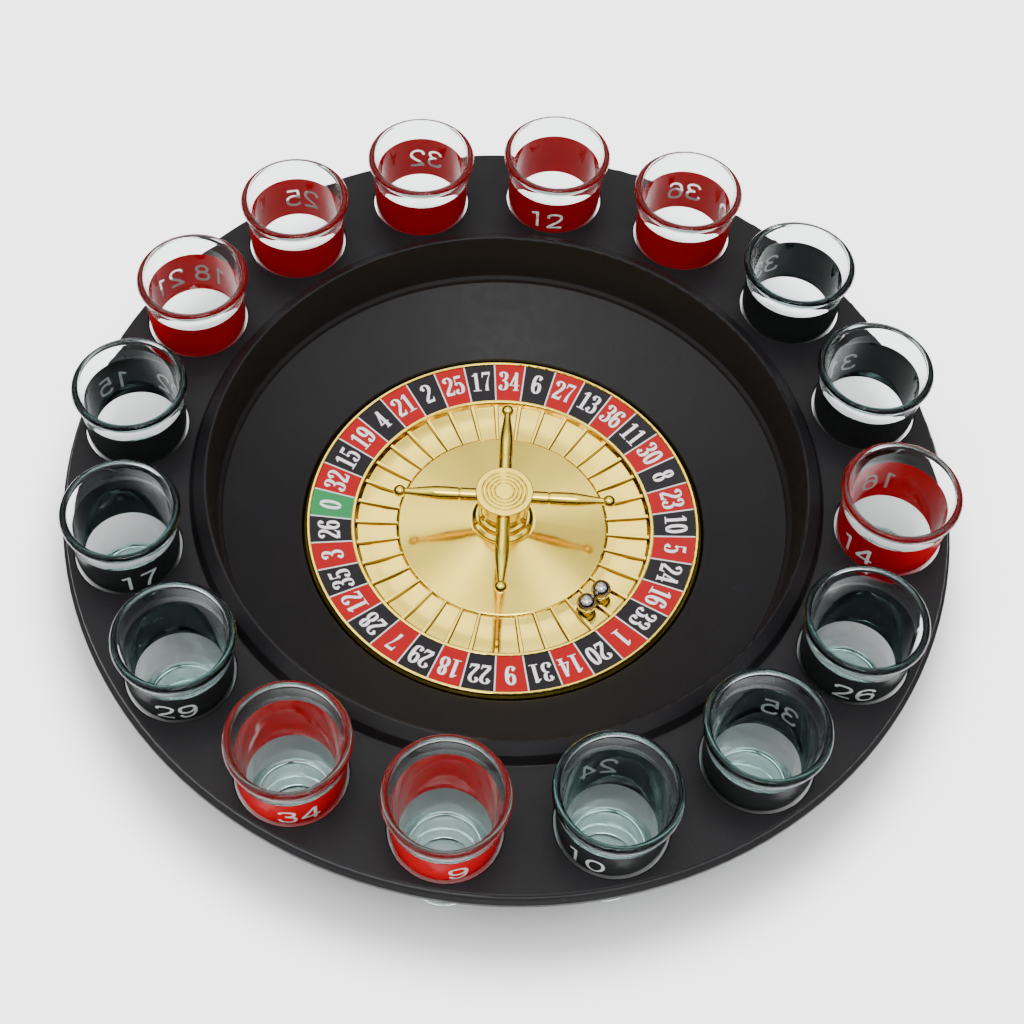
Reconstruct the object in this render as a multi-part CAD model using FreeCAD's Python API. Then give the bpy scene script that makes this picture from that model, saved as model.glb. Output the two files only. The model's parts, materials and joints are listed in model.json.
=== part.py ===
import FreeCAD, Part
import math
import os

"""Drinking roulette set: a moulded tray with a ring of shot glasses round a bowl,
and a gold-plated numbered wheel that turns on a steel spindle in the middle.

Millimetres, +Z up. The origin is on the surface that the set stands on, on the
spindle's axis. The tray's flat rim is the reference height for the upper surfaces.
"""

Vector = FreeCAD.Vector
ORIGIN = Vector(0, 0, 0)
UP = Vector(0, 0, 1)

# ---- driving dimensions ------------------------------------------------------
TRAY_RADIUS = 150.7
RIM_HEIGHT = 35.5            # top of the flat rim above the table
SHEET = 2.0                  # wall thickness of the tray moulding
SKIRT_DROP = 5.4             # height of the edge turned down round the rim
SKIRT_STEP = 1.4             # the skirt's lower half stands out by this much
LIP_FOOT_RADIUS = 107.5
LIP_SHOULDER_RADIUS = 105.9
LIP_SHOULDER_RISE = 3.6      # top of the lip's steep outer face above the flat rim
LIP_CREST_RADIUS = 101.3
LIP_RISE = 6.8               # crest of the lip above the flat rim
WALL_FOOT_RADIUS = 99.2
WALL_FOOT_HEIGHT = 23.0
TRACK_RADIUS = 97.6          # outer edge of the sloping ball track
TRACK_TOP = 20.5
WELL_RADIUS = 70.9           # round pit that the wheel sits in
WELL_TOP = 7.5
FLOOR_BOTTOM = 0.3
FLOOR_TOP = 1.5
FOOT_RING_INNER = 68.0

GLASS_COUNT = 16
GLASS_PITCH_RADIUS = 129.2
FIRST_GLASS_DEG = 107.8
GLASS_STEP_DEG = -360.0 / GLASS_COUNT
GLASS_HOLE_RADIUS = 17.8
HOLE_EDGE_ROUND = 0.5
GLASS_HEIGHT = 59.5
GLASS_FLOOR = 18.5           # inside bottom of a glass above the table

WHEEL_RADIUS = 70.2
POCKET_COUNT = 37
ZERO_POCKET_DEG = 178.7      # direction of the pocket numbered zero
POCKET_STEP_DEG = -360.0 / POCKET_COUNT
LABEL_INNER = 53.5
LABEL_OUTER = 68.0
LABEL_SEAT_INNER_Z = 5.3
LABEL_SEAT_OUTER_Z = 7.5
LABEL_THICKNESS = 0.3
POCKET_INNER = 37.6
POCKET_BEND_RADIUS = 44.9    # the two slopes of the pocket floor meet here
POCKET_LOW_Z = 3.0           # height of that meeting point before it is blended
POCKET_BLEND = 55.0          # radius of the wide arc between the two slopes
POCKET_OUTER = 51.4
FRET_INNER_WIDTH = 1.05
FRET_OUTER_WIDTH = 1.55
FRET_HEIGHT = 1.35
FRET_CLIMB = 0.75            # a fret's outer end is this much higher than its inner end
POCKET_FLOOR = 1.0           # thickness of the wheel under the pockets
HUB_LAND_Z = 8.1             # flat land that the turret stands on

PIN_RADIUS = 2.0
PIN_TOP = 13.9
BORE_CLEARANCE = 0.05
BOSS_RADIUS = 6.0
BOSS_TOP = 3.1
PIN_HEAD_RADIUS = 4.6
PIN_HEAD_BOTTOM = 0.4
PIN_HEAD_TOP = 1.3
WASHER_THICKNESS = 0.6
BUSH_RADIUS = 4.0
BUSH_BOTTOM = 3.85
BUSH_FLANGE = 0.85
BUSH_TOP = 11.8
CLIP_BOTTOM = 12.1
CLIP_THICKNESS = 0.6
CLIP_GROOVE_RADIUS = 1.5
CLIP_RADIUS = 3.6

SPIGOT_RADIUS = 6.0
SPIGOT_TOP = 11.5
COLUMN_TOP = 24.8
COLUMN_RADIUS = 9.3
CAP_RADIUS = 10.0
CAP_THICKNESS = 1.0
CAP_STEM_RADIUS = 3.0
CAP_STEM_BOTTOM = 19.1
CAP_GROOVES = (7.65, 6.2, 4.8, 3.4)
CAP_GROOVE_WIDTH = 0.75
CAP_GROOVE_DEPTH = 0.35

ARM_HEIGHT = 22.5
ARM_ANGLES = (1.5, 91.5, 181.5, 271.5)
ARM_RADIUS = 2.35
ARM_STEM_RADIUS = 1.5
TIP_CENTRE = 36.3
TIP_RADIUS = 2.2

BALL_RADIUS = 3.5
BALL_POCKETS = (23, 22)      # pockets the two balls lie in, counted from zero
BALL_PLACE_RADIUS = 43.6     # the blended pocket floor is lowest about here
BALL_REST_HEIGHT = 3.22      # underside of a ball, just clear of the pocket floor


# ---- profile helpers ---------------------------------------------------------
def on_plane(radius, height):
    """A point of a turned profile: radius along X, height along Z."""
    return Vector(radius, 0, height)


def rounded_wire(corners):
    """Closed profile from (radius, height, round) corners, each rounded by an arc."""
    points = [on_plane(radius, height) for radius, height, _ in corners]
    count = len(points)
    entries = []
    for index, (_, _, round_radius) in enumerate(corners):
        here = points[index]
        back = (points[index - 1] - here).normalize()
        ahead = (points[(index + 1) % count] - here).normalize()
        if round_radius == 0:
            entries.append((here, None, here))
            continue
        half_angle = back.getAngle(ahead) / 2
        cut = round_radius / math.tan(half_angle)
        middle = (back + ahead).normalize()
        reach = round_radius / math.sin(half_angle) - round_radius
        entries.append((here + back * cut, here + middle * reach, here + ahead * cut))
    edges = []
    for index, (start, middle, end) in enumerate(entries):
        if middle is not None:
            edges.append(Part.Arc(start, middle, end).toShape())
        following = entries[(index + 1) % count][0]
        edges.append(Part.LineSegment(end, following).toShape())
    return Part.Wire(edges)


def turned(wire, axis=UP):
    """Solid of revolution of a closed wire."""
    return Part.Face(wire).revolve(ORIGIN, axis, 360)


def turned_corners(corners):
    return turned(rounded_wire(corners))


def disc(radius, bottom, top):
    return Part.makeCylinder(radius, top - bottom, Vector(0, 0, bottom))


def direction(angle_deg):
    angle = math.radians(angle_deg)
    return Vector(math.cos(angle), math.sin(angle), 0)


def pocket_angle(index):
    return ZERO_POCKET_DEG + index * POCKET_STEP_DEG


def glass_angle(index):
    return FIRST_GLASS_DEG + index * GLASS_STEP_DEG


# ---- tray --------------------------------------------------------------------
def tray_profile():
    """Section of the tray from its outer edge over the lip, down the bowl and back."""
    crest = RIM_HEIGHT + LIP_RISE
    under_rim = RIM_HEIGHT - SHEET
    skirt_bottom = RIM_HEIGHT - SKIRT_DROP
    well_outside = WELL_RADIUS + SHEET
    bore = PIN_RADIUS
    edge = TRAY_RADIUS - SKIRT_STEP
    ledge = RIM_HEIGHT - 2.9
    return [
        (edge, RIM_HEIGHT, 0.7),
        (LIP_FOOT_RADIUS, RIM_HEIGHT, 0.7),
        (LIP_SHOULDER_RADIUS, RIM_HEIGHT + LIP_SHOULDER_RISE, 0.5),
        (LIP_CREST_RADIUS, crest, 0.7),
        (WALL_FOOT_RADIUS, WALL_FOOT_HEIGHT, 0.8),
        (TRACK_RADIUS + 0.4, WALL_FOOT_HEIGHT - 1.2, 0.5),
        (TRACK_RADIUS, TRACK_TOP, 0.3),
        (WELL_RADIUS + 0.3, WELL_TOP, 0.3),
        (WELL_RADIUS, WELL_TOP - 0.6, 0),
        (WELL_RADIUS, FLOOR_TOP, 0.6),
        (BOSS_RADIUS + 0.3, FLOOR_TOP, 0.5),
        (BOSS_RADIUS, BOSS_TOP, 0.3),
        (bore, BOSS_TOP, 0),
        (bore, PIN_HEAD_TOP, 0),
        (PIN_HEAD_RADIUS + 0.2, PIN_HEAD_TOP, 0),
        (PIN_HEAD_RADIUS + 0.2, FLOOR_BOTTOM, 0),
        (FOOT_RING_INNER, FLOOR_BOTTOM, 0.2),
        (FOOT_RING_INNER, 0, 0.2),
        (well_outside, 0, 0.4),
        (well_outside, 6.1, 0.6),
        (100.8, 19.8, 2.0),
        (102.4, under_rim, 1.0),
        (edge - 1.7, under_rim, 0.3),
        (edge - 1.7, ledge - 0.4, 0.2),
        (TRAY_RADIUS - SHEET, ledge - 1.3, 0.3),
        (TRAY_RADIUS - SHEET, skirt_bottom, 0.3),
        (TRAY_RADIUS, skirt_bottom, 0.4),
        (TRAY_RADIUS, ledge - 0.7, 0.4),
        (edge, ledge, 0.3),
    ]


def glass_hole(angle_deg):
    """Cutter for one glass hole, flared at the top so that the hole's edge is rounded."""
    low = RIM_HEIGHT - SHEET - 1
    shoulder = RIM_HEIGHT - HOLE_EDGE_ROUND
    flared = GLASS_HOLE_RADIUS + HOLE_EDGE_ROUND
    slack = HOLE_EDGE_ROUND * (1 - math.sqrt(0.5))
    points = [
        on_plane(0, low),
        on_plane(GLASS_HOLE_RADIUS, low),
        on_plane(GLASS_HOLE_RADIUS, shoulder),
        on_plane(flared, RIM_HEIGHT),
        on_plane(flared, RIM_HEIGHT + 1),
        on_plane(0, RIM_HEIGHT + 1),
    ]
    bend = on_plane(GLASS_HOLE_RADIUS + slack, RIM_HEIGHT - slack)
    edges = [Part.LineSegment(points[i], points[(i + 1) % 6]).toShape() for i in (0, 1, 3, 4, 5)]
    edges.insert(2, Part.Arc(points[2], bend, points[3]).toShape())
    cutter = turned(Part.Wire(edges))
    cutter.translate(direction(angle_deg) * GLASS_PITCH_RADIUS)
    return cutter


def make_tray():
    body = turned_corners(tray_profile())
    holes = [glass_hole(glass_angle(index)) for index in range(GLASS_COUNT)]
    return body.cut(Part.makeCompound(holes))


# ---- spindle -----------------------------------------------------------------
def make_spindle_pin():
    """Headed steel pin, pushed up through the tray's boss, with a groove for the clip."""
    clip_top = CLIP_BOTTOM + CLIP_THICKNESS
    return turned_corners([
        (0, PIN_HEAD_BOTTOM, 0),
        (PIN_HEAD_RADIUS, PIN_HEAD_BOTTOM, 0.3),
        (PIN_HEAD_RADIUS, PIN_HEAD_TOP, 0),
        (PIN_RADIUS, PIN_HEAD_TOP, 0),
        (PIN_RADIUS, CLIP_BOTTOM, 0),
        (CLIP_GROOVE_RADIUS, CLIP_BOTTOM, 0),
        (CLIP_GROOVE_RADIUS, clip_top, 0),
        (PIN_RADIUS, clip_top, 0),
        (PIN_RADIUS, PIN_TOP, 0.5),
        (0, PIN_TOP, 0),
    ])


def make_thrust_washer():
    """Nylon washer on the boss, under the wheel's bush."""
    top = BOSS_TOP + WASHER_THICKNESS
    washer = disc(BOSS_RADIUS - 0.8, BOSS_TOP, top)
    return washer.cut(disc(PIN_RADIUS + 0.1, BOSS_TOP, top))


def make_retaining_clip():
    """Open spring clip in the pin's groove, which keeps the wheel from lifting off."""
    top = CLIP_BOTTOM + CLIP_THICKNESS
    ring = disc(CLIP_RADIUS, CLIP_BOTTOM, top)
    ring = ring.cut(disc(CLIP_GROOVE_RADIUS, CLIP_BOTTOM, top))
    mouth = 2 * CLIP_GROOVE_RADIUS - 0.5
    slot = Part.makeBox(CLIP_RADIUS + 1, mouth, CLIP_THICKNESS, Vector(0, -mouth / 2, CLIP_BOTTOM))
    return ring.cut(slot)


# ---- wheel -------------------------------------------------------------------
def wheel_profile():
    """Section of the wheel: hub spigot, cone, pocket ring, label seat and outer bead."""
    inner_ring_top = LABEL_SEAT_INNER_Z + 0.55
    bead_top = LABEL_SEAT_OUTER_Z + 0.85
    skirt_bottom = 3.5
    skirt_inner = WHEEL_RADIUS - 1.4
    underside = POCKET_LOW_Z - POCKET_FLOOR
    flange_top = BUSH_BOTTOM + BUSH_FLANGE
    return [
        (BUSH_RADIUS, SPIGOT_TOP, 0),
        (SPIGOT_RADIUS, SPIGOT_TOP, 0.3),
        (SPIGOT_RADIUS, HUB_LAND_Z, 0),
        (11.6, HUB_LAND_Z, 0.8),
        (POCKET_INNER - 0.7, POCKET_LOW_Z + 1.3, 0.9),
        (POCKET_INNER, POCKET_LOW_Z + 0.3, 0.2),
        (POCKET_BEND_RADIUS, POCKET_LOW_Z, POCKET_BLEND),
        (POCKET_OUTER, POCKET_LOW_Z + 0.8, 0.3),
        (POCKET_OUTER + 1.0, inner_ring_top, 0.5),
        (LABEL_INNER - 0.05, inner_ring_top, 0.25),
        (LABEL_INNER, LABEL_SEAT_INNER_Z, 0),
        (LABEL_OUTER, LABEL_SEAT_OUTER_Z, 0),
        (LABEL_OUTER + 0.1, bead_top, 0.35),
        (LABEL_OUTER + 1.1, bead_top, 0.35),
        (LABEL_OUTER + 1.3, bead_top - 0.9, 0.15),
        (WHEEL_RADIUS - 0.1, bead_top - 1.5, 0.3),
        (WHEEL_RADIUS, skirt_bottom, 0.3),
        (skirt_inner, skirt_bottom, 0.3),
        (skirt_inner, LABEL_SEAT_OUTER_Z - 1.4, 0.5),
        (POCKET_OUTER + 1.6, LABEL_SEAT_INNER_Z - 1.4, 1.0),
        (POCKET_OUTER - 0.4, underside, 0.5),
        (POCKET_INNER - 1.4, underside, 0.6),
        (POCKET_INNER - 2.0, underside + 1.1, 0.6),
        (11.2, HUB_LAND_Z - 1.5, 0.5),
        (SPIGOT_RADIUS + 0.2, HUB_LAND_Z - 1.5, 0.3),
        (SPIGOT_RADIUS + 0.2, flange_top, 0.2),
        (BUSH_RADIUS, flange_top, 0),
    ]


def fret_end(radius, width):
    """Outline of a fret's end: steep sides and a flat top with small bevels."""
    half = width / 2
    foot = POCKET_LOW_Z - 0.4
    top = POCKET_LOW_Z - 0.3 + FRET_HEIGHT
    points = [
        Vector(radius, -half, foot),
        Vector(radius, -half + 0.10, top - 0.15),
        Vector(radius, -half + 0.25, top),
        Vector(radius, half - 0.25, top),
        Vector(radius, half - 0.10, top - 0.15),
        Vector(radius, half, foot),
    ]
    return Part.makePolygon(points + points[:1])


def fret(angle_deg):
    """One bar between two pockets, rising and widening towards the outside."""
    inner = fret_end(POCKET_INNER - 0.6, FRET_INNER_WIDTH)
    outer = fret_end(POCKET_OUTER + 0.6, FRET_OUTER_WIDTH)
    outer.translate(Vector(0, 0, FRET_CLIMB))
    bar = Part.makeLoft([inner, outer], True, True)
    bar.rotate(ORIGIN, UP, angle_deg)
    return bar


def make_wheel():
    body = turned_corners(wheel_profile())
    frets = [fret(pocket_angle(index + 0.5)) for index in range(POCKET_COUNT)]
    return body.multiFuse(frets)


def make_number_ring():
    """Thin printed ring lying in the wheel's sloping seat."""
    inner = LABEL_INNER + 0.05
    outer = LABEL_OUTER - 0.05
    slope = (LABEL_SEAT_OUTER_Z - LABEL_SEAT_INNER_Z) / (LABEL_OUTER - LABEL_INNER)
    low = LABEL_SEAT_INNER_Z + slope * 0.05
    high = LABEL_SEAT_OUTER_Z - slope * 0.05
    return turned_corners([
        (inner, low, 0),
        (outer, high, 0),
        (outer, high + LABEL_THICKNESS, 0),
        (inner, low + LABEL_THICKNESS, 0),
    ])


def make_rotor_bush():
    """Flanged bush pressed into the wheel's hub, running on the spindle pin."""
    bore = PIN_RADIUS + BORE_CLEARANCE
    flange_top = BUSH_BOTTOM + BUSH_FLANGE
    return turned_corners([
        (bore, BUSH_BOTTOM, 0),
        (BOSS_RADIUS - 0.6, BUSH_BOTTOM, 0.2),
        (BOSS_RADIUS - 0.6, flange_top, 0),
        (BUSH_RADIUS, flange_top, 0),
        (BUSH_RADIUS, BUSH_TOP, 0.2),
        (bore, BUSH_TOP, 0),
    ])


# ---- turret ------------------------------------------------------------------
def make_turret_arm():
    """One baluster arm along +X: threaded stem, ringed root, swelling body, ball tip."""
    stem_start = 6.4
    root = 8.5
    groove_start = 15.2
    groove_end = 15.9
    neck_radius = 1.2
    tip_meet = TIP_CENTRE - math.sqrt(TIP_RADIUS ** 2 - neck_radius ** 2)

    def at(along, off_axis):
        return Vector(along, 0, off_axis)

    body = Part.BSplineCurve()
    body.interpolate([
        at(groove_end, ARM_RADIUS),
        at(20.0, ARM_RADIUS + 0.13),
        at(24.0, ARM_RADIUS + 0.08),
        at(28.0, ARM_RADIUS - 0.35),
        at(32.0, neck_radius + 0.25),
        at(tip_meet, neck_radius),
    ])
    middle = (groove_start + groove_end) / 2
    tip_side = at(TIP_CENTRE + 0.6, math.sqrt(TIP_RADIUS ** 2 - 0.6 ** 2))
    outline = [at(stem_start, 0), at(stem_start, ARM_STEM_RADIUS), at(root, ARM_STEM_RADIUS)]
    outline += [at(root, ARM_RADIUS), at(groove_start, ARM_RADIUS)]
    edges = [Part.LineSegment(a, b).toShape() for a, b in zip(outline, outline[1:])]
    groove = Part.Arc(outline[-1], at(middle, ARM_RADIUS - 0.35), at(groove_end, ARM_RADIUS))
    tip_end = at(TIP_CENTRE + TIP_RADIUS, 0)
    edges.append(groove.toShape())
    edges.append(body.toShape())
    edges.append(Part.Arc(at(tip_meet, neck_radius), tip_side, tip_end).toShape())
    edges.append(Part.LineSegment(tip_end, outline[0]).toShape())
    arm = turned(Part.Wire(edges), Vector(1, 0, 0))
    arm.translate(Vector(0, 0, ARM_HEIGHT))
    return arm


def placed_arms():
    arms = []
    for angle_deg in ARM_ANGLES:
        arm = make_turret_arm()
        arm.rotate(ORIGIN, UP, angle_deg)
        arms.append(arm)
    return arms


def make_turret_post(arms, cap):
    """Column with a double-ringed base, bored below for the hub and above for the cap."""
    clearance_top = PIN_TOP + 1.6
    body = turned_corners([
        (0, clearance_top, 0),
        (5.2, clearance_top, 0.6),
        (5.2, SPIGOT_TOP + 0.2, 0),
        (SPIGOT_RADIUS, SPIGOT_TOP + 0.2, 0),
        (SPIGOT_RADIUS, HUB_LAND_Z, 0),
        (10.7, HUB_LAND_Z, 0.4),
        (11.0, HUB_LAND_Z + 1.2, 1.0),
        (9.4, HUB_LAND_Z + 2.4, 0.7),
        (7.9, HUB_LAND_Z + 2.4, 0.2),
        (8.8, HUB_LAND_Z + 3.1, 0.4),
        (8.7, HUB_LAND_Z + 4.2, 0.6),
        (7.5, HUB_LAND_Z + 4.6, 0.4),
        (7.6, HUB_LAND_Z + 7.2, 3.0),
        (COLUMN_RADIUS, HUB_LAND_Z + 11.6, 3.0),
        (COLUMN_RADIUS, COLUMN_TOP, 0),
        (0, COLUMN_TOP, 0),
    ])
    return body.cut(Part.makeCompound(arms + [cap]))


def make_turret_cap():
    """Disc with turned rings on top and a stem that plugs into the column."""
    top = COLUMN_TOP + CAP_THICKNESS
    low = top - CAP_GROOVE_DEPTH
    corners = [
        (0, CAP_STEM_BOTTOM, 0),
        (CAP_STEM_RADIUS, CAP_STEM_BOTTOM, 0.4),
        (CAP_STEM_RADIUS, COLUMN_TOP, 0),
        (CAP_RADIUS, COLUMN_TOP, 0.25),
        (CAP_RADIUS, top, 0.4),
    ]
    for radius in CAP_GROOVES:
        corners.append((radius + CAP_GROOVE_WIDTH / 2, top, 0.15))
        corners.append((radius, low, 0.15))
        corners.append((radius - CAP_GROOVE_WIDTH / 2, top, 0.15))
    corners.append((0, top, 0))
    return turned_corners(corners)


# ---- balls and glasses -------------------------------------------------------
def make_ball(pocket_index):
    place = direction(pocket_angle(pocket_index)) * BALL_PLACE_RADIUS
    place.z = BALL_REST_HEIGHT + BALL_RADIUS
    return Part.makeSphere(BALL_RADIUS, place)


def smooth_edge(points):
    curve = Part.BSplineCurve()
    curve.interpolate([on_plane(radius, height) for radius, height in points])
    return curve.toShape()


def arc_through(start, middle, end):
    return Part.Arc(on_plane(*start), on_plane(*middle), on_plane(*end)).toShape()


def glass_wire():
    """Half section of a heavy-based glass with a flared wall and a rolled rim."""
    rim = GLASS_HEIGHT
    floor = GLASS_FLOOR
    outside = [(11.7, 1.5), (13.7, 12.0), (15.7, 24.5), (17.05, 35.0), (17.4, 43.0)]
    outside += [(17.85, 50.0), (18.55, 54.3), (19.3, rim - 2.5)]
    inside = [(16.95, rim - 1.3), (16.3, 53.5), (15.7, 46.0), (15.0, 38.5)]
    inside += [(14.0, 30.5), (13.1, 24.5), (11.9, floor + 2.2)]
    edges = [
        Part.LineSegment(on_plane(0, 2.0), on_plane(3.0, 1.9)).toShape(),
        arc_through((3.0, 1.9), (6.4, 1.2), (9.0, 0)),
        Part.LineSegment(on_plane(9.0, 0), on_plane(10.3, 0)).toShape(),
        arc_through((10.3, 0), (11.3, 0.45), (11.7, 1.5)),
        smooth_edge(outside),
        arc_through((19.3, rim - 2.5), (19.6, rim - 1.4), (19.15, rim - 0.35)),
        arc_through((19.15, rim - 0.35), (18.25, rim), (16.95, rim - 1.3)),
        smooth_edge(inside),
        arc_through((11.9, floor + 2.2), (11.0, floor + 0.7), (9.3, floor)),
        Part.LineSegment(on_plane(9.3, floor), on_plane(0, floor - 0.3)).toShape(),
        Part.LineSegment(on_plane(0, floor - 0.3), on_plane(0, 2.0)).toShape(),
    ]
    return Part.Wire(edges)


def make_glass(angle_deg):
    glass = turned(glass_wire())
    glass.translate(direction(angle_deg) * GLASS_PITCH_RADIUS)
    return glass


# ---- assembly ----------------------------------------------------------------
def build_nodes():
    arms = placed_arms()
    cap = make_turret_cap()
    nodes = {
        "tray": make_tray(),
        "spindle_pin": make_spindle_pin(),
        "thrust_washer": make_thrust_washer(),
        "retaining_clip": make_retaining_clip(),
        "wheel": make_wheel(),
        "number_ring": make_number_ring(),
        "rotor_bush": make_rotor_bush(),
        "turret_post": make_turret_post(arms, cap),
        "turret_cap": cap,
    }
    for index, arm in enumerate(arms, start=1):
        nodes[f"turret_arm_{index}"] = arm
    for index, pocket_index in enumerate(BALL_POCKETS, start=1):
        nodes[f"ball_{index}"] = make_ball(pocket_index)
    for index in range(GLASS_COUNT):
        nodes[f"glass_{index + 1:02d}"] = make_glass(glass_angle(index))
    return nodes


def export(nodes):
    os.makedirs("parts", exist_ok=True)
    for name, shape in nodes.items():
        shape.exportStep(f"parts/{name}.step")


def report_sizes(nodes):
    for name, shape in nodes.items():
        state = "valid" if shape.isValid() else "INVALID"
        solids = len(shape.Solids)
        print(f"{name:16s} {state} solids={solids} volume={shape.Volume / 1000:.2f} cm3")


NODES = build_nodes()
export(NODES)
report_sizes(NODES)
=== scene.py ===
import json
import math

import bpy
from mathutils import Matrix, Vector
from mathutils.bvhtree import BVHTree
from mathutils.geometry import delaunay_2d_cdt


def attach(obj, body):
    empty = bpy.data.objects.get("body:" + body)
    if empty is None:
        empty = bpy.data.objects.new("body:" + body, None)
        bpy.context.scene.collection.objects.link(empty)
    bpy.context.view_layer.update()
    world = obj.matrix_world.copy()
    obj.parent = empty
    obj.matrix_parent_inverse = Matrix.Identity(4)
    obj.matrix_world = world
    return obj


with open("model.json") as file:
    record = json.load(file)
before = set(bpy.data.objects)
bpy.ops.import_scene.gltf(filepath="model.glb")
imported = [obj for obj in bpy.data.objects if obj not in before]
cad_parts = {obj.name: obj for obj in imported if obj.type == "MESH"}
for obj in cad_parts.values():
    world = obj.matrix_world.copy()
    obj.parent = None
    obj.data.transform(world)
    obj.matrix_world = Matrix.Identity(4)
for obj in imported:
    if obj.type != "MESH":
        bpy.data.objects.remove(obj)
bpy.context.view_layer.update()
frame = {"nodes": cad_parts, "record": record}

MM = 0.001
NODES = frame["nodes"]

# ---- sizes shared with the CAD part, in mm -------------------------------------
RIM_HEIGHT = 35.5
GLASS_COUNT = 16
GLASS_PITCH_RADIUS = 129.2
FIRST_GLASS_DEG = 107.8
POCKET_COUNT = 37
ZERO_POCKET_DEG = 178.7
LABEL_INNER, LABEL_OUTER = 53.5, 68.0
LABEL_TOP_INNER, LABEL_TOP_OUTER = 5.6, 7.8

# ---- numbers -------------------------------------------------------------------
WHEEL_NUMBERS = (0, 32, 15, 19, 4, 21, 2, 25, 17, 34, 6, 27, 13, 36, 11, 30, 8, 23, 10, 5,
                 24, 16, 33, 1, 20, 14, 31, 9, 22, 18, 29, 7, 28, 12, 35, 3, 26)
# For each glass, clockwise: its colour and its numbers, each with the direction it faces, in degrees.
GLASS_PRINT = (
    ("red", ((32, 88),)), ("red", ((12, -99),)), ("red", ((36, 88), (19, 10))),
    ("black", ((33, 128),)), ("black", ((31, 121),)), ("red", ((16, 101), (14, -136))),
    ("black", ((26, -95),)), ("black", ((35, 65), (8, 150))),
    ("black", ((24, 109), (10, -119))), ("red", ((9, -73),)), ("red", ((34, -74),)),
    ("black", ((29, -83),)), ("black", ((17, -66),)), ("black", ((15, 128), (22, 50))),
    ("red", ((18, 80), (21, 138))), ("red", ((25, 90),)),
)

# ---- digit shapes: strokes of (x, y) points in a box one unit high --------------
# A stroke is (kind, points): "curve" is smooth, "line" is straight, "dot" is (x, y, radius),
# "loop" is an ellipse (x, y, half width, half height), "plate" is a filled outline.
SERIF_WIDTH, SERIF_ADVANCE = 0.45, 0.455
PLAIN_WIDTH, PLAIN_ADVANCE = 0.72, 0.86
PLAIN_HALF_STROKE = 0.0635
SERIF_DIGITS = {
    "0": [("loop", (0.225, 0.5, 0.145, 0.475))],
    "1": [("line", ((0.245, 0.02), (0.245, 0.985))),
          ("plate", ((0.07, 0.0), (0.42, 0.0), (0.42, 0.04), (0.07, 0.04))),
          ("plate", ((0.07, 0.80), (0.245, 0.86), (0.245, 1.0), (0.07, 0.85)))],
    "2": [("dot", (0.115, 0.755, 0.062)),
          ("curve", ((0.062, 0.77), (0.10, 0.91), (0.21, 0.98), (0.33, 0.90), (0.365, 0.74),
                     (0.31, 0.55), (0.19, 0.34), (0.075, 0.10))),
          ("plate", ((0.045, 0.0), (0.39, 0.0), (0.425, 0.25), (0.395, 0.25), (0.35, 0.135),
                     (0.06, 0.12)))],
    "3": [("dot", (0.11, 0.775, 0.060)), ("dot", (0.105, 0.225, 0.062)),
          ("curve", ((0.06, 0.80), (0.11, 0.93), (0.205, 0.98), (0.315, 0.90), (0.335, 0.75),
                     (0.28, 0.58), (0.15, 0.525))),
          ("curve", ((0.15, 0.525), (0.30, 0.47), (0.355, 0.28), (0.31, 0.09), (0.20, 0.02),
                     (0.10, 0.06), (0.055, 0.20)))],
    "4": [("line", ((0.305, 0.02), (0.305, 0.985))),
          ("plate", ((0.18, 0.0), (0.43, 0.0), (0.43, 0.04), (0.18, 0.04))),
          ("plate", ((0.02, 0.26), (0.44, 0.26), (0.44, 0.31), (0.02, 0.31))),
          ("plate", ((0.02, 0.27), (0.09, 0.27), (0.33, 0.93), (0.33, 1.0), (0.28, 1.0)))],
    "5": [("dot", (0.11, 0.215, 0.062)),
          ("plate", ((0.085, 0.985), (0.10, 0.85), (0.35, 0.85), (0.39, 0.985))),
          ("plate", ((0.085, 0.985), (0.075, 0.50), (0.105, 0.50), (0.12, 0.95))),
          ("curve", ((0.085, 0.50), (0.17, 0.60), (0.28, 0.57), (0.35, 0.42), (0.355, 0.26),
                     (0.31, 0.09), (0.20, 0.02), (0.10, 0.06), (0.055, 0.19)))],
    "6": [("dot", (0.325, 0.795, 0.058)),
          ("curve", ((0.372, 0.82), (0.32, 0.945), (0.24, 0.98), (0.14, 0.90), (0.085, 0.70),
                     (0.075, 0.45), (0.10, 0.18), (0.22, 0.022), (0.335, 0.13), (0.365, 0.31),
                     (0.33, 0.50), (0.235, 0.575), (0.15, 0.50), (0.11, 0.40)))],
    "7": [("plate", ((0.045, 0.72), (0.075, 0.72), (0.11, 0.86), (0.41, 0.86), (0.415, 1.0),
                     (0.06, 1.0))),
          ("plate", ((0.385, 0.90), (0.415, 0.93), (0.31, 0.55), (0.275, 0.25), (0.285, 0.0),
                     (0.14, 0.0), (0.165, 0.25), (0.25, 0.55)))],
    "8": [("loop", (0.225, 0.755, 0.112, 0.222)), ("loop", (0.225, 0.275, 0.135, 0.252))],
}
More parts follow.
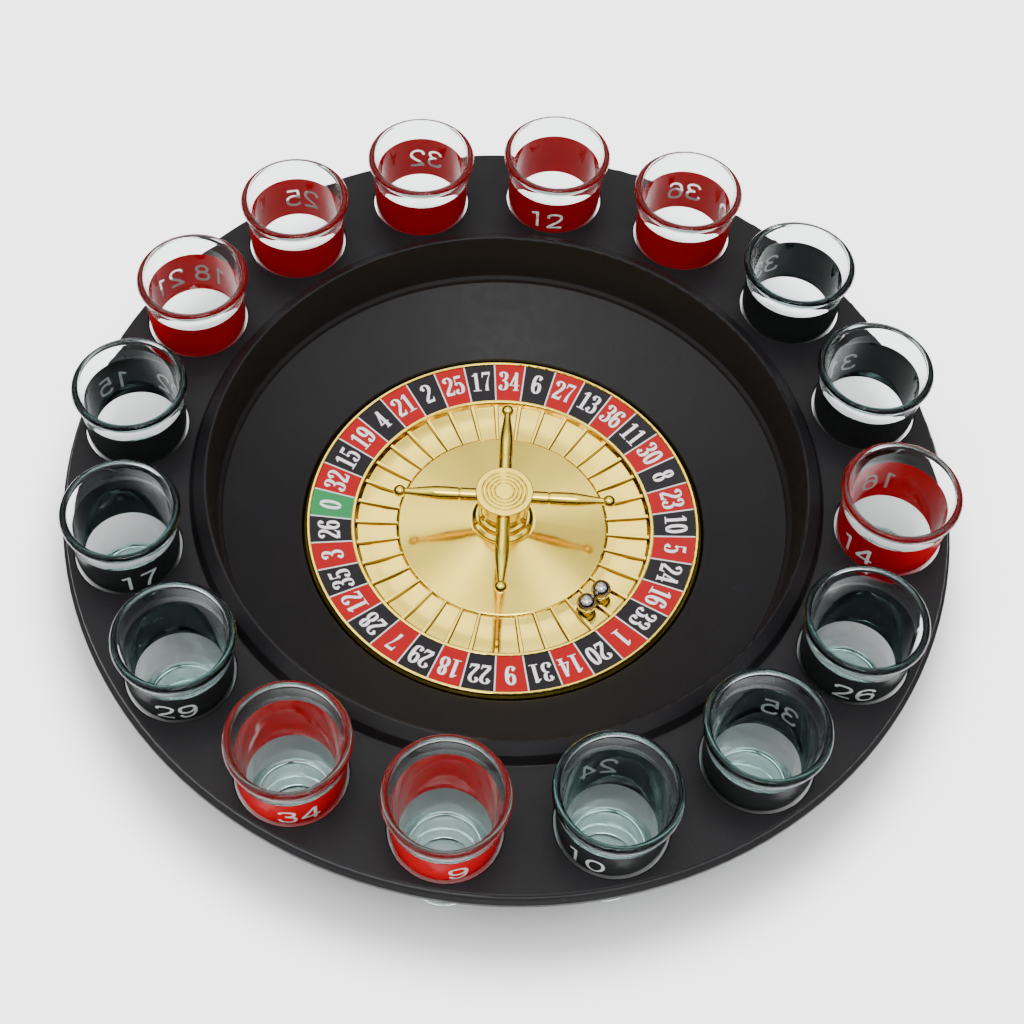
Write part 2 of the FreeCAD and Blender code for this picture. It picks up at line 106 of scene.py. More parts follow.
PLAIN_DIGITS = {
    "0": [("loop", (0.36, 0.5, 0.297, 0.437))],
    "1": [("line", ((0.43, 0.0), (0.43, 0.937))), ("line", ((0.43, 0.93), (0.16, 0.80))),
          ("dot", (0.43, 0.935, PLAIN_HALF_STROKE))],
    "2": [("curve", ((0.065, 0.68), (0.11, 0.85), (0.34, 0.937), (0.58, 0.87), (0.65, 0.69),
                     (0.53, 0.48), (0.24, 0.25), (0.08, 0.07))),
          ("line", ((0.02, PLAIN_HALF_STROKE), (0.68, PLAIN_HALF_STROKE)))],
    "3": [("curve", ((0.07, 0.75), (0.15, 0.89), (0.35, 0.937), (0.57, 0.87), (0.61, 0.72),
                     (0.51, 0.57), (0.28, 0.53))),
          ("curve", ((0.28, 0.53), (0.55, 0.49), (0.655, 0.29), (0.57, 0.11), (0.35, 0.063),
                     (0.13, 0.11), (0.05, 0.27)))],
    "4": [("line", ((0.53, 0.0), (0.53, 0.99))), ("line", ((0.50, 0.96), (0.05, 0.27))),
          ("line", ((0.02, 0.265), (0.72, 0.265))), ("dot", (0.06, 0.27, 0.06))],
    "5": [("line", ((0.64, 0.937), (0.12, 0.937))), ("line", ((0.15, 0.95), (0.09, 0.48))),
          ("curve", ((0.09, 0.50), (0.20, 0.59), (0.40, 0.61), (0.60, 0.51), (0.655, 0.33),
                     (0.58, 0.13), (0.35, 0.063), (0.14, 0.10), (0.05, 0.23)))],
    "6": [("curve", ((0.64, 0.73), (0.56, 0.89), (0.38, 0.937), (0.16, 0.83), (0.068, 0.55),
                     (0.08, 0.29), (0.19, 0.10), (0.38, 0.063), (0.59, 0.13), (0.655, 0.33),
                     (0.59, 0.52), (0.39, 0.595), (0.19, 0.52), (0.08, 0.36)))],
    "7": [("line", ((0.04, 0.937), (0.68, 0.937))), ("dot", (0.64, 0.935, PLAIN_HALF_STROKE)),
          ("curve", ((0.64, 0.93), (0.46, 0.64), (0.33, 0.30), (0.28, 0.0)))],
    "8": [("loop", (0.36, 0.742, 0.25, 0.195)), ("loop", (0.36, 0.30, 0.295, 0.237))],
}


def turned_over(strokes, width):
    """The same strokes turned by half a turn inside the digit's box."""
    made = []
    for kind, points in strokes:
        if kind == "dot":
            made.append((kind, (width - points[0], 1 - points[1], points[2])))
        else:
            made.append((kind, tuple((width - x, 1 - y) for x, y in points)))
    return made


SERIF_DIGITS["9"] = turned_over(SERIF_DIGITS["6"], SERIF_WIDTH)
PLAIN_DIGITS["9"] = turned_over(PLAIN_DIGITS["6"], PLAIN_WIDTH)


# ---- glyph geometry --------------------------------------------------------------
def smooth_points(points, steps=5):
    """Catmull-Rom curve through the points."""
    padded = [points[0]] + list(points) + [points[-1]]
    made = []
    for a, b, c, d in zip(padded, padded[1:], padded[2:], padded[3:]):
        for i in range(steps):
            t = i / steps
            weights = (-t + 2 * t ** 2 - t ** 3, 2 - 5 * t ** 2 + 3 * t ** 3,
                       t + 4 * t ** 2 - 3 * t ** 3, t ** 3 - t ** 2)
            made.append(tuple(sum(w * p[k] for w, p in zip(weights, (a, b, c, d))) / 2
                              for k in (0, 1)))
    made.append(tuple(points[-1]))
    return made


def ellipse_points(cx, cy, rx, ry, count=28):
    turns = [2 * math.pi * i / count for i in range(count + 1)]
    return [(cx + rx * math.cos(t), cy + ry * math.sin(t)) for t in turns]


def ribbon(points, pen, closed=False):
    """Quads along a path; pen gives the half width for a unit tangent."""
    last = len(points) - 1
    sides = []
    for i, (x, y) in enumerate(points):
        if closed:
            before, after = points[(i - 1) % last], points[(i + 1) % last]
        else:
            before, after = points[max(i - 1, 0)], points[min(i + 1, last)]
        dx, dy = after[0] - before[0], after[1] - before[1]
        length = math.hypot(dx, dy) or 1.0
        dx, dy = dx / length, dy / length
        half = pen(dx, dy)
        sides.append(((x - dy * half, y + dx * half), (x + dy * half, y - dx * half)))
    return [[a[1], b[1], b[0], a[0]] for a, b in zip(sides, sides[1:])]


def glyph_polygons(strokes, pen, grow=0.0):
    """All the filled polygons of one digit; grow thickens it on every side."""
    def wide_pen(dx, dy):
        return pen(dx, dy) + grow

    polygons = []
    for kind, points in strokes:
        if kind == "curve":
            polygons += ribbon(smooth_points(points), wide_pen)
        elif kind == "line":
            polygons += ribbon(points, wide_pen)
        elif kind == "loop":
            polygons += ribbon(ellipse_points(*points), wide_pen, closed=True)
        elif kind == "dot":
            x, y, radius = points
            polygons.append(ellipse_points(x, y, radius + grow, radius + grow, 20)[:-1])
        else:
            polygons.append(list(points))
            if grow:
                closed = list(points) + [points[0]]
                for a, b in zip(closed, closed[1:]):
                    polygons += ribbon((a, b), lambda dx, dy: grow)
                    polygons.append(ellipse_points(*a, grow, grow, 8)[:-1])
    return polygons


def serif_pen(dx, dy):
    """Thick down-strokes and hairline cross-strokes."""
    return 0.020 + 0.050 * abs(dy) ** 1.4


def plain_pen(dx, dy):
    return PLAIN_HALF_STROKE


def counter_clockwise(polygon):
    """The polygon, turned round if it runs clockwise."""
    area = sum(a[0] * b[1] - b[0] * a[1] for a, b in zip(polygon, polygon[1:] + polygon[:1]))
    return polygon if area > 0 else polygon[::-1]


def number_polygons(number, digits, width, advance, pen, height, grow=0.0):
    """Polygons of a whole number centred on the origin, in mm."""
    text = str(number)
    total = width + advance * (len(text) - 1)
    made = []
    for i, digit in enumerate(text):
        for polygon in glyph_polygons(digits[digit], pen, grow):
            moved = [((x + i * advance - total / 2) * height, (y - 0.5) * height)
                     for x, y in polygon]
            made.append(counter_clockwise(moved))
    return made


def triangulate(polygons, extra_points=(), keep=None):
    """Triangles over the union of the polygons, without overlaps.

    keep gets the indices of the polygons that cover a triangle and says whether it stays.
    """
    points, faces = [], []
    for polygon in polygons:
        faces.append(list(range(len(points), len(points) + len(polygon))))
        points += [Vector(p) for p in polygon]
    points += [Vector(p) for p in extra_points]
    out = delaunay_2d_cdt(points, [], faces, 1, 1e-4)
    verts, tris, sources = out[0], out[2], out[5]
    kept = [t for t, s in zip(tris, sources) if s and (keep is None or keep(s))]
    return verts, kept


def solid_sheet(verts, tris, place, low, high):
    """Closed sheet: place(point, offset) puts a flat point in space, low and high are offsets."""
    used = sorted({i for t in tris for i in t})
    index = {v: n for n, v in enumerate(used)}
    top = [place(verts[i], high) for i in used]
    bottom = [place(verts[i], low) for i in used]
    count = len(used)
    faces = [tuple(index[i] for i in t) for t in tris]
    edges = {}
    for a, b, c in faces:
        for pair in ((a, b), (b, c), (c, a)):
            edges[pair] = True
    borders = [(a, b) for a, b in edges if (b, a) not in edges]
    faces += [(c + count, b + count, a + count) for a, b, c in faces]
    faces += [(b, a, a + count, b + count) for a, b in borders]
    return top + bottom, faces


def add_piece(name, verts, faces, material, body, smooth_angle=None):
    """A mesh that rides on a body; edges sharper than smooth_angle stay sharp."""
    mesh = bpy.data.meshes.new(name)
    mesh.from_pydata([tuple(v) for v in verts], [], faces)
    mesh.validate()
    mesh.materials.append(material)
    piece = bpy.data.objects.new(name, mesh)
    bpy.context.scene.collection.objects.link(piece)
    if smooth_angle is not None:
        for polygon in mesh.polygons:
            polygon.use_smooth = True
        mesh.set_sharp_from_angle(angle=math.radians(smooth_angle))
    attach(piece, body)
    return piece


# ---- material helpers ---------------------------------------------------------------
def map_range(tree, value, low_in, high_in, low_out, high_out, smooth=False):
    """The value carried from one range to another and held at its ends."""
    made = tree.nodes.new("ShaderNodeMapRange")
    if smooth:
        made.interpolation_type = "SMOOTHSTEP"
    tree.links.new(value, made.inputs["Value"])
    for key, number in (("From Min", low_in), ("From Max", high_in),
                        ("To Min", low_out), ("To Max", high_out)):
        made.inputs[key].default_value = number
    return made.outputs["Result"]


class Shader:
    """A Principled material with short helpers for its nodes."""

    def __init__(self, name, **values):
        self.material = bpy.data.materials.new(name)
        self.material.use_nodes = True
        self.tree = self.material.node_tree
        self.bsdf = self.tree.nodes["Principled BSDF"]
        for key, value in values.items():
            self.bsdf.inputs[key.replace("_", " ")].default_value = value
        self.coords = self.node("ShaderNodeTexCoord").outputs["Object"]

    def node(self, kind, **settings):
        made = self.tree.nodes.new(kind)
        for key, value in settings.items():
            setattr(made, key, value)
        return made

    def link(self, output, target):
        self.tree.links.new(output, target)

    def to(self, output, socket):
        self.link(output, self.bsdf.inputs[socket])

    def math(self, operation, a, b=None, c=None):
        made = self.node("ShaderNodeMath", operation=operation)
        for socket, value in zip(made.inputs, (a, b, c)):
            if value is None:
                continue
            if isinstance(value, (int, float)):
                socket.default_value = value
            else:
                self.link(value, socket)
        return made.outputs[0]

    def noise(self, scale, detail=2.0, roughness=0.5, coords=None):
        made = self.node("ShaderNodeTexNoise")
        self.link(coords or self.coords, made.inputs["Vector"])
        made.inputs["Scale"].default_value = scale
        made.inputs["Detail"].default_value = detail
        made.inputs["Roughness"].default_value = roughness
        return made.outputs["Fac"]

    def span(self, value, low_in, high_in, low_out, high_out, smooth=False):
        return map_range(self.tree, value, low_in, high_in, low_out, high_out, smooth)

    def mix(self, factor, a, b):
        made = self.node("ShaderNodeMix", data_type="RGBA")
        for socket, value in ((made.inputs[0], factor), (made.inputs[6], a), (made.inputs[7], b)):
            if isinstance(value, (int, float)):
                socket.default_value = value
            elif isinstance(value, (tuple, list)):
                socket.default_value = (*value[:3], 1.0)
            else:
                self.link(value, socket)
        return made.outputs[2]

    def bump(self, height, strength, distance):
        made = self.node("ShaderNodeBump")
        made.inputs["Strength"].default_value = strength
        made.inputs["Distance"].default_value = distance
        self.link(height, made.inputs["Height"])
        self.to(made.outputs["Normal"], "Normal")

    def radius_mm(self):
        """Distance from the wheel's axis in mm, with x and y in metres."""
        parts = self.node("ShaderNodeSeparateXYZ")
        self.link(self.coords, parts.inputs[0])
        x, y, _ = parts.outputs
        squares = self.math("ADD", self.math("MULTIPLY", x, x), self.math("MULTIPLY", y, y))
        radius = self.math("MULTIPLY", self.math("SQRT", squares), 1000.0)
        return radius, x, y


# ---- materials ------------------------------------------------------------------------
def tray_material():
    shader = Shader("tray_black", Metallic=0.0, Specular_IOR_Level=0.17)
    mottle = shader.noise(60.0, 3.0, 0.6)
    specks = shader.span(shader.noise(1900.0, 1.0, 0.4), 0.76, 0.80, 0.0, 1.0)
    dark = shader.mix(mottle, (0.0080, 0.0074, 0.0084), (0.0115, 0.0105, 0.0120))
    shader.to(shader.mix(specks, dark, (0.045, 0.045, 0.050)), "Base Color")
    shader.to(shader.span(shader.noise(240.0, 4.0, 0.65), 0.3, 0.7, 0.36, 0.46), "Roughness")
    shader.bump(shader.noise(2600.0, 2.0, 0.5), 0.10, 0.00006)
    return shader.material


# Painted shade: the dark line along each side of a fret, where it meets the pocket floor, in mm: its
# ends' radii, and its distance from the fret's middle at each end.
SHADE_LINE_START, SHADE_LINE_END = 37.0, 52.0
SHADE_LINE_START_OFFSET, SHADE_LINE_END_OFFSET = 0.50, 0.76


def gold_material():
    """Bright plating, satin on the cone, with dark lines of painted shade where the frets meet the
    floor.
    """
    shader = Shader("gold_plating", Metallic=1.0)
    radius, x, y = shader.radius_mm()
    drift = shader.noise(55.0, 2.0, 0.5)
    plating = shader.mix(drift, (0.89, 0.65, 0.085), (0.93, 0.70, 0.115))
    turn = shader.math("DIVIDE", shader.math("ARCTAN2", y, x), 2 * math.pi)
    phase = shader.math("MULTIPLY_ADD", turn, -float(POCKET_COUNT),
                        ZERO_POCKET_DEG / 360.0 * POCKET_COUNT)
    part = shader.math("SUBTRACT", shader.math("FRACT", phase), 0.5)
    offset = shader.math("MULTIPLY", shader.math("MULTIPLY", part, radius),
                         2 * math.pi / POCKET_COUNT)
    # Painted shade: a dark line on each side of every fret, fading out near the line's ends.
    shade_line_offset = shader.span(radius, SHADE_LINE_START, SHADE_LINE_END,
                         SHADE_LINE_START_OFFSET, SHADE_LINE_END_OFFSET)
    shade_line_distance = shader.math("ABSOLUTE", shader.math("SUBTRACT", shader.math("ABSOLUTE", offset),
                                                 shade_line_offset))
    line = shader.span(shade_line_distance, 0.10, 0.30, 0.85, 0.0, smooth=True)
    past_start = shader.span(radius, SHADE_LINE_START + 0.3, SHADE_LINE_START + 0.7, 0.0, 1.0)
    before_end = shader.span(radius, SHADE_LINE_END - 0.7, SHADE_LINE_END - 0.3, 1.0, 0.0)
    line = shader.math("MULTIPLY", line, shader.math("MULTIPLY", past_start, before_end))
    # The dark brown colour along those lines is painted shade.
    shader.to(shader.mix(line, plating, (0.16, 0.085, 0.012)), "Base Color")
    satin = shader.span(radius, 36.6, 38.2, 0.13, 0.09, smooth=True)
    cloud = shader.span(shader.noise(180.0, 3.0, 0.6), 0.3, 0.7, -0.02, 0.03)
    shader.to(shader.math("ADD", satin, cloud), "Roughness")
    shader.bump(shader.noise(900.0, 2.0, 0.5), 0.05, 0.00005)
    return shader.material


def turret_material():
    shader = Shader("gold_polished", Metallic=1.0)
    drift = shader.noise(70.0, 2.0, 0.5)
    shader.to(shader.mix(drift, (0.86, 0.62, 0.06), (0.91, 0.68, 0.09)), "Base Color")
    shader.to(shader.span(shader.noise(420.0, 3.0, 0.6), 0.3, 0.7, 0.05, 0.11), "Roughness")
    shader.bump(shader.noise(1300.0, 2.0, 0.5), 0.04, 0.00004)
    return shader.material


def steel_material():
    shader = Shader("turned_steel", Metallic=1.0)
    stretch = shader.node("ShaderNodeMapping")
    stretch.inputs["Scale"].default_value = (1.0, 1.0, 30.0)
    shader.link(shader.coords, stretch.inputs["Vector"])
    lines = shader.noise(160.0, 3.0, 0.6, stretch.outputs["Vector"])
    shader.to(shader.mix(lines, (0.50, 0.51, 0.53), (0.62, 0.63, 0.65)), "Base Color")
    shader.to(shader.span(lines, 0.3, 0.7, 0.22, 0.34), "Roughness")
    return shader.material


def chrome_material():
    shader = Shader("ball_steel", Metallic=1.0)
    shader.to(shader.mix(shader.noise(500.0), (0.36, 0.34, 0.33), (0.42, 0.40, 0.39)), "Base Color")
    shader.to(shader.span(shader.noise(1500.0, 3.0), 0.3, 0.7, 0.03, 0.08), "Roughness")
    return shader.material


def bearing_material():
    shader = Shader("bearing_plastic")
    shader.to(shader.mix(shader.noise(300.0), (0.74, 0.74, 0.72), (0.82, 0.82, 0.80)), "Base Color")
    shader.to(shader.span(shader.noise(700.0, 3.0), 0.3, 0.7, 0.40, 0.52), "Roughness")
    shader.bump(shader.noise(1800.0), 0.08, 0.00005)
    return shader.material


def label_material():
    """Printed ring: sectors of red, black and one green, parted by thin pale lines."""
    shader = Shader("number_print", Specular_IOR_Level=0.18)
    radius, x, y = shader.radius_mm()
    turn = shader.math("DIVIDE", shader.math("ARCTAN2", y, x), 2 * math.pi)
    phase = shader.math("MULTIPLY_ADD", turn, -float(POCKET_COUNT),
                        ZERO_POCKET_DEG / 360.0 * POCKET_COUNT + 0.5)
    index = shader.math("FLOORED_MODULO", shader.math("FLOOR", phase), float(POCKET_COUNT))
    green = shader.math("COMPARE", index, 0.0, 0.4)
    red = shader.math("COMPARE", shader.math("FLOORED_MODULO", index, 2.0), 1.0, 0.4)
    part = shader.math("FRACT", phase)
    edge = shader.math("MINIMUM", part, shader.math("SUBTRACT", 1.0, part))
    distance = shader.math("MULTIPLY", shader.math("MULTIPLY", edge, radius),
                           2 * math.pi / POCKET_COUNT)
    line = shader.span(distance, 0.20, 0.30, 1.0, 0.0)
    grain = shader.noise(1500.0, 2.0, 0.5)
    black = shader.mix(grain, (0.008, 0.007, 0.009), (0.013, 0.011, 0.014))
    scarlet = shader.mix(grain, (0.37, 0.001, 0.003), (0.43, 0.002, 0.005))
    emerald = shader.mix(grain, (0.020, 0.230, 0.070), (0.030, 0.280, 0.095))
    colour = shader.mix(green, shader.mix(red, black, scarlet), emerald)
    shader.to(shader.mix(line, colour, (0.72, 0.72, 0.72)), "Base Color")
    shader.to(shader.span(shader.noise(350.0, 3.0), 0.3, 0.7, 0.28, 0.40), "Roughness")
    return shader.material


def ink_material(name, low, high):
    shader = Shader(name, Specular_IOR_Level=0.25)
    shader.to(shader.mix(shader.noise(1700.0, 3.0, 0.6), low, high), "Base Color")
    shader.to(shader.span(shader.noise(600.0, 3.0), 0.3, 0.7, 0.26, 0.38), "Roughness")
    return shader.material


def paint_material(name, low, high):
    shader = Shader(name, Specular_IOR_Level=0.04)
    shader.to(shader.mix(shader.noise(130.0, 3.0, 0.6), low, high), "Base Color")
    shader.to(shader.span(shader.noise(420.0, 3.0, 0.6), 0.3, 0.7, 0.10, 0.20), "Roughness")
    shader.bump(shader.noise(520.0, 2.0, 0.5), 0.06, 0.00008)
    return shader.material


def glass_material():
    shader = Shader("clear_glass", Roughness=0.0, IOR=1.50, Transmission_Weight=1.0)
    shader.to(shader.mix(shader.noise(90.0), (0.975, 1.0, 0.99), (0.99, 1.0, 1.0)), "Base Color")
    shader.bump(shader.noise(150.0, 2.0, 0.5), 0.03, 0.00010)
    shader.bsdf.inputs["Specular Tint"].default_value = (0.30, 0.34, 0.34, 1.0)
    tint = shader.node("ShaderNodeVolumeAbsorption")
    tint.inputs["Color"].default_value = (0.45, 0.85, 0.82, 1.0)
    tint.inputs["Density"].default_value = 25.0
    output = shader.tree.nodes["Material Output"]
    shader.link(tint.outputs["Volume"], output.inputs["Volume"])
    return shader.material


def frosted_material():
    """Unpainted number on a glass: a matt white film that lets part of the view through."""
    shader = Shader("frosted_number", Specular_IOR_Level=0.3)
    grain = shader.noise(900.0, 3.0, 0.6)
    shader.to(shader.mix(grain, (0.82, 0.84, 0.84), (0.92, 0.94, 0.94)), "Base Color")
    shader.to(shader.span(grain, 0.3, 0.7, 0.30, 0.42), "Roughness")
    shader.to(shader.span(grain, 0.3, 0.7, 0.36, 0.44), "Alpha")
    return shader.material


MATERIALS = {
    "tray_plastic": tray_material(),
    "gold_plating": gold_material(),
    "pin_steel": steel_material(),
    "bearing_plastic": bearing_material(),
    "number_print": label_material(),
    "ball_chrome": chrome_material(),
    "glass": glass_material(),
}
POLISHED = turret_material()
FROSTED = frosted_material()
WHITE_INK = ink_material("digit_ink", (0.84, 0.85, 0.86), (0.93, 0.94, 0.95))
EDGE_INK = ink_material("digit_edge_ink", (0.10, 0.03, 0.05), (0.14, 0.05, 0.07))
# Enamel as seen from outside, and copies with painted light for the side seen through the glass: the
# red painted brighter, the black painted a little darker.
PAINT = {
    "red": paint_material("red_enamel", (0.31, 0.000, 0.003), (0.36, 0.001, 0.005)),
    "black": paint_material("black_enamel", (0.008, 0.009, 0.009), (0.014, 0.015, 0.015)),
}
PAINT_INSIDE_PAINTED_LIGHT = {
    "red": paint_material("red_enamel_back_painted_light", (0.62, 0.000, 0.005), (0.70, 0.001, 0.008)),
    "black": paint_material("black_enamel_back_painted_shade", (0.006, 0.007, 0.007), (0.010, 0.011, 0.011)),
}

for entry in frame["record"]["subparts"]:
    node = NODES[entry["node"]]
    material = MATERIALS[entry["material_slot"]]
    if entry["node"].startswith("turret"):
        material = POLISHED
    node.data.materials.clear()
    node.data.materials.append(material)


# ---- digits on the wheel -----------------------------------------------------------------
DIGIT_HEIGHT = 7.6
DIGIT_STRETCH = 1.12         # the digits are this much wider than drawn
DIGIT_MIDDLE = 61.4          # radius that the digits are centred on
DIGIT_BOTTOM = -0.05         # offsets from the top of the print
DIGIT_EDGE_TOP = 0.012
DIGIT_TOP = 0.030
DIGIT_EDGE_WIDTH = 0.016     # as a share of the digit's height


def label_top(radius):
    share = (radius - LABEL_INNER) / (LABEL_OUTER - LABEL_INNER)
    return LABEL_TOP_INNER + share * (LABEL_TOP_OUTER - LABEL_TOP_INNER)


def wheel_digits(name, material, grow, low, high):
    """One mesh with the numbers of all pockets, standing slightly proud of the print."""
    all_verts, all_faces = [], []
    for index, number in enumerate(WHEEL_NUMBERS):
        angle = math.radians(ZERO_POCKET_DEG - 360.0 / POCKET_COUNT * index)
        outward = Vector((math.cos(angle), math.sin(angle)))
        clockwise = Vector((math.sin(angle), -math.cos(angle)))

        def place(point, offset):
            flat = outward * (DIGIT_MIDDLE + point[1]) + clockwise * point[0] * DIGIT_STRETCH
            return Vector((flat.x, flat.y, label_top(flat.length) + offset)) * MM

        polygons = number_polygons(number, SERIF_DIGITS, SERIF_WIDTH, SERIF_ADVANCE,
                                   serif_pen, DIGIT_HEIGHT, grow)
        flat_verts, tris = triangulate(polygons)
        verts, faces = solid_sheet(flat_verts, tris, place, low, high)
        start = len(all_verts)
        all_verts += verts
        all_faces += [tuple(i + start for i in f) for f in faces]
    add_piece(name, all_verts, all_faces, material, "wheel")


wheel_digits("wheel_digit_edges", EDGE_INK, DIGIT_EDGE_WIDTH, DIGIT_BOTTOM, DIGIT_EDGE_TOP)
wheel_digits("wheel_digits", WHITE_INK, 0.0, DIGIT_BOTTOM, DIGIT_TOP)


# ---- paint on the glasses ----------------------------------------------------------------
BAND_LOW = RIM_HEIGHT - 2.9
BAND_HIGH = RIM_HEIGHT + 15.0
# Partly painted shade: the near glasses' paint reaches further down than the others', and this extra
# dark band also stands for the shade in the gap between each glass and its hole.
NEAR_GLASSES = range(6, 11)  # glass_07 to glass_11, whose paint reaches further down
BAND_LOW_NEAR = RIM_HEIGHT - 5.5
NUMBER_MIDDLE = RIM_HEIGHT + 5.5
NUMBER_HEIGHT = 8.3
UNROLL_RADIUS = 17.1         # the band is drawn flat as if it lay at this radius
BAND_COLUMNS = 112
BAND_ROWS = 9
COAT_INSIDE = -0.15          # offsets from the glass's outer surface
PAINT_OUTSIDE = 0.04
FILM_OUTSIDE = 0.02
RAY_START = 30.0             # outside every glass, measured from the glass's axis


def joined_round(flat_verts, tris, length):
    """The same triangles with the two ends of the unrolled band made one."""
    joined, keys = {}, []
    for point in flat_verts:
        key = (round(point[0] % length, 3) % round(length, 3), round(point[1], 3))
        keys.append(joined.setdefault(key, len(joined)))
    verts = [None] * len(joined)
    for point, key in zip(flat_verts, keys):
        verts[key] = point
    tris = [tuple(keys[i] for i in t) for t in tris]
    return verts, [t for t in tris if len(set(t)) == 3]


def glass_band(index):
    """The painted band round one glass, with its numbers left as frosted glass."""
    node_name = "glass_%02d" % (index + 1)
    colour, numbers = GLASS_PRINT[index]
    mesh = NODES[node_name].data
    tree = BVHTree.FromPolygons([v.co for v in mesh.vertices],
                                [tuple(p.vertices) for p in mesh.polygons])
    angle = math.radians(FIRST_GLASS_DEG - 360.0 / GLASS_COUNT * index)
    centre = Vector((math.cos(angle), math.sin(angle), 0)) * GLASS_PITCH_RADIUS
    seam = math.radians(numbers[0][1] + 180)
    low = BAND_LOW_NEAR if index in NEAR_GLASSES else BAND_LOW
    length = 2 * math.pi * UNROLL_RADIUS
    polygons = [[(0, low), (length, low), (length, BAND_HIGH), (0, BAND_HIGH)]]
    for number, side in numbers:
        along = (math.radians(side) - seam) % (2 * math.pi) * UNROLL_RADIUS
        shapes = number_polygons(number, PLAIN_DIGITS, PLAIN_WIDTH, PLAIN_ADVANCE,
                                 plain_pen, NUMBER_HEIGHT)
        for polygon in shapes:
            polygons.append([(x + along, y + NUMBER_MIDDLE) for x, y in polygon])
    rows = [low + (BAND_HIGH - low) * j / BAND_ROWS for j in range(BAND_ROWS + 1)]
    grid = [(length * i / BAND_COLUMNS, row) for i in range(BAND_COLUMNS + 1) for row in rows]
    painted = joined_round(*triangulate(polygons, grid, keep=lambda s: s == [0]), length)
    clear = joined_round(*triangulate(polygons, grid, keep=lambda s: s != [0]), length)

    def place(point, offset):
        turn = seam + point[0] / UNROLL_RADIUS
        outward = Vector((math.cos(turn), math.sin(turn), 0))
        start = centre + outward * RAY_START + Vector((0, 0, point[1]))
        hit, _, _, distance = tree.ray_cast(start * MM, -outward)
        radius = RAY_START - distance / MM
        return (centre + outward * (radius + offset) + Vector((0, 0, point[1]))) * MM

    made, faces = solid_sheet(*painted, place, COAT_INSIDE, PAINT_OUTSIDE)
    paint = add_piece("paint_%02d" % (index + 1), made, faces, PAINT[colour], node_name,
                      smooth_angle=40)
    paint.data.materials.append(PAINT_INSIDE_PAINTED_LIGHT[colour])
    # The side that faces the glass's axis is seen through the glass and gets the copy with painted
    # light.
    for polygon in paint.data.polygons:
        if polygon.normal.dot(centre * MM - polygon.center) > 0:
            polygon.material_index = 1
    made, faces = solid_sheet(*clear, place, COAT_INSIDE, FILM_OUTSIDE)
    add_piece("number_%02d" % (index + 1), made, faces, FROSTED, node_name,
              smooth_angle=40)


for glass_index in range(GLASS_COUNT):
    glass_band(glass_index)


# ---- stage ---------------------------------------------------------------------------------
FLOOR_HALF_SIZE = 6.0
FLOOR_DROP = 0.0002          # keeps the floor just below the glasses' feet
FLOOR_GLOW = 2.2
FLOOR_GLOW_FAR = 0.2
SHADE_RADIUS, SHADE_END_RADIUS = 150.0, 172.0    # the floor is dim inside, bright outside, in mm
FAR_RADIUS, FAR_END_RADIUS = 400.0, 700.0        # between these the glow falls off, in mm


def make_floor():
    """Pale glowing floor with a painted shadow: its glow is dim under the tray and dimmest under its
    front half.
    """
    side = FLOOR_HALF_SIZE
    mesh = bpy.data.meshes.new("floor")
    mesh.from_pydata([(-side, -side, 0), (side, -side, 0), (side, side, 0), (-side, side, 0)],
                     [], [(0, 1, 2, 3)])
    floor = bpy.data.objects.new("floor", mesh)
    bpy.context.scene.collection.objects.link(floor)
    shader = Shader("floor_white", Roughness=0.9, Specular_IOR_Level=0.0)
    shader.bsdf.inputs["Base Color"].default_value = (0.80, 0.80, 0.80, 1.0)
    shader.bsdf.inputs["Emission Color"].default_value = (1.0, 1.0, 1.0, 1.0)
    radius, _, y = shader.radius_mm()
    # Painted shadow: the glow is turned down under the tray, most under its front half.
    beyond_tray = shader.span(radius, SHADE_RADIUS, SHADE_END_RADIUS, 0.0, 1.0, smooth=True)
    under_tray_shadow_mask = shader.math("SUBTRACT", 1.0, beyond_tray)
    dim = shader.span(y, -0.05, 0.06, 0.01, 0.35, smooth=True)
    glow = shader.math("ADD", shader.math("MULTIPLY", dim, under_tray_shadow_mask), beyond_tray)
    brightness = shader.span(radius, FAR_RADIUS, FAR_END_RADIUS, FLOOR_GLOW, FLOOR_GLOW_FAR,
                             smooth=True)
    shader.to(shader.math("MULTIPLY", glow, brightness), "Emission Strength")
    mesh.materials.append(shader.material)
    floor.location.z = -FLOOR_DROP


def area_light(name, place, size, power, size_y=None):
    """A soft box that points at the origin."""
    data = bpy.data.lights.new(name, "AREA")
    data.energy = power
    data.size = size
    if size_y:
        data.shape = "RECTANGLE"
        data.size_y = size_y
    light = bpy.data.objects.new(name, data)
    bpy.context.scene.collection.objects.link(light)
    light.location = place
    aim = -Vector(place)
    light.rotation_euler = aim.to_track_quat("-Z", "Y").to_euler()


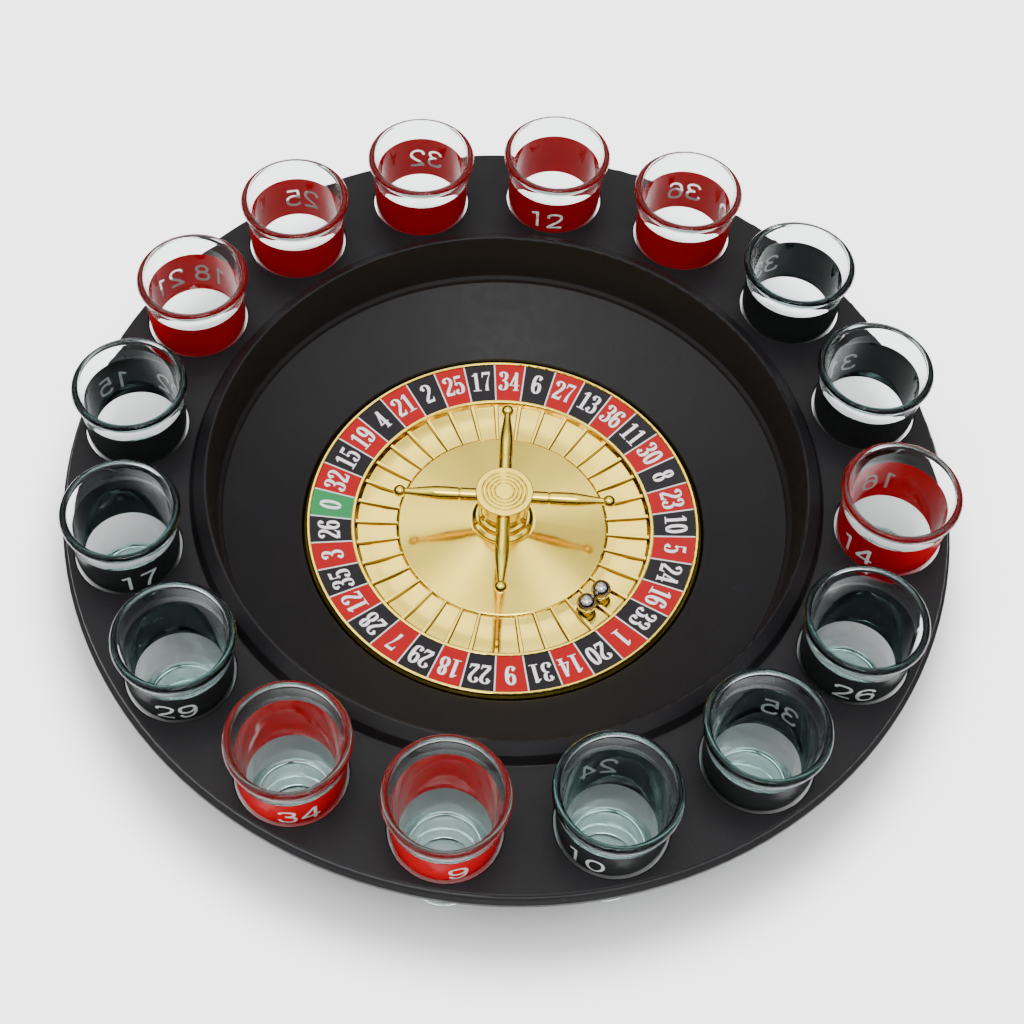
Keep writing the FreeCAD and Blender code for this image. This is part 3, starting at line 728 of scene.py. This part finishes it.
def make_world():
    """A studio dome: even and dim at the horizon, bright and softly uneven overhead."""
    world = bpy.data.worlds.new("studio")
    world.use_nodes = True
    bpy.context.scene.world = world
    tree = world.node_tree
    background = tree.nodes["Background"]
    coords = tree.nodes.new("ShaderNodeTexCoord")
    parts = tree.nodes.new("ShaderNodeSeparateXYZ")
    tree.links.new(coords.outputs["Generated"], parts.inputs[0])
    overhead = map_range(tree, parts.outputs[2], 0.32, 0.95, 0.0, 2.05, smooth=True)
    cloud = tree.nodes.new("ShaderNodeTexNoise")
    cloud.inputs["Scale"].default_value = 3.2
    cloud.inputs["Detail"].default_value = 1.0
    tree.links.new(coords.outputs["Generated"], cloud.inputs["Vector"])
    patches = map_range(tree, cloud.outputs["Fac"], 0.38, 0.62, 0.40, 1.45, smooth=True)
    strength = tree.nodes.new("ShaderNodeMath")
    strength.operation = "MULTIPLY_ADD"
    tree.links.new(overhead, strength.inputs[0])
    tree.links.new(patches, strength.inputs[1])
    strength.inputs[2].default_value = 0.26
    background.inputs["Color"].default_value = (1.0, 1.0, 1.0, 1.0)
    tree.links.new(strength.outputs[0], background.inputs["Strength"])


CAMERA_DISTANCE = 0.63505    # from the middle of the rim plane, in metres
CAMERA_ELEVATION = math.radians(56.25)
CAMERA_PITCH, CAMERA_YAW = math.radians(1.21), math.radians(2.52)
CAMERA_ROLL = math.radians(-4.14)
CAMERA_LENS, SENSOR_WIDTH = 65.36, 36.0
CAMERA_SHIFT_X, CAMERA_SHIFT_Y = 0.0831, -0.0797


def make_camera():
    """A camera in front of and above the tray, aimed near its middle."""
    place = Vector((0, -math.cos(CAMERA_ELEVATION), math.sin(CAMERA_ELEVATION))) * CAMERA_DISTANCE
    ahead = -place.normalized()
    right = Vector((1, 0, 0))
    up = right.cross(ahead)
    turn = Matrix.Rotation(CAMERA_YAW, 3, up)
    ahead, right = turn @ ahead, turn @ right
    turn = Matrix.Rotation(CAMERA_PITCH, 3, right)
    ahead, up = turn @ ahead, turn @ up
    turn = Matrix.Rotation(CAMERA_ROLL, 3, ahead)
    right, up = turn @ right, turn @ up
    data = bpy.data.cameras.new("camera")
    data.lens = CAMERA_LENS
    data.sensor_width = SENSOR_WIDTH
    data.shift_x = CAMERA_SHIFT_X
    data.shift_y = CAMERA_SHIFT_Y
    data.dof.use_dof = False
    camera = bpy.data.objects.new("camera", data)
    bpy.context.scene.collection.objects.link(camera)
    matrix = Matrix((right, up, -ahead)).transposed().to_4x4()
    matrix.translation = place + Vector((0, 0, RIM_HEIGHT * MM))
    camera.matrix_world = matrix
    bpy.context.scene.camera = camera


make_floor()
make_world()
area_light("front_top", (0.05, -0.40, 1.10), 0.50, 6.0)
area_light("left_box", (-0.9, 0.0, 0.8), 0.3, 1.5, 0.9)
area_light("right_box", (0.9, -0.1, 0.8), 0.3, 1.0, 0.9)
make_camera()
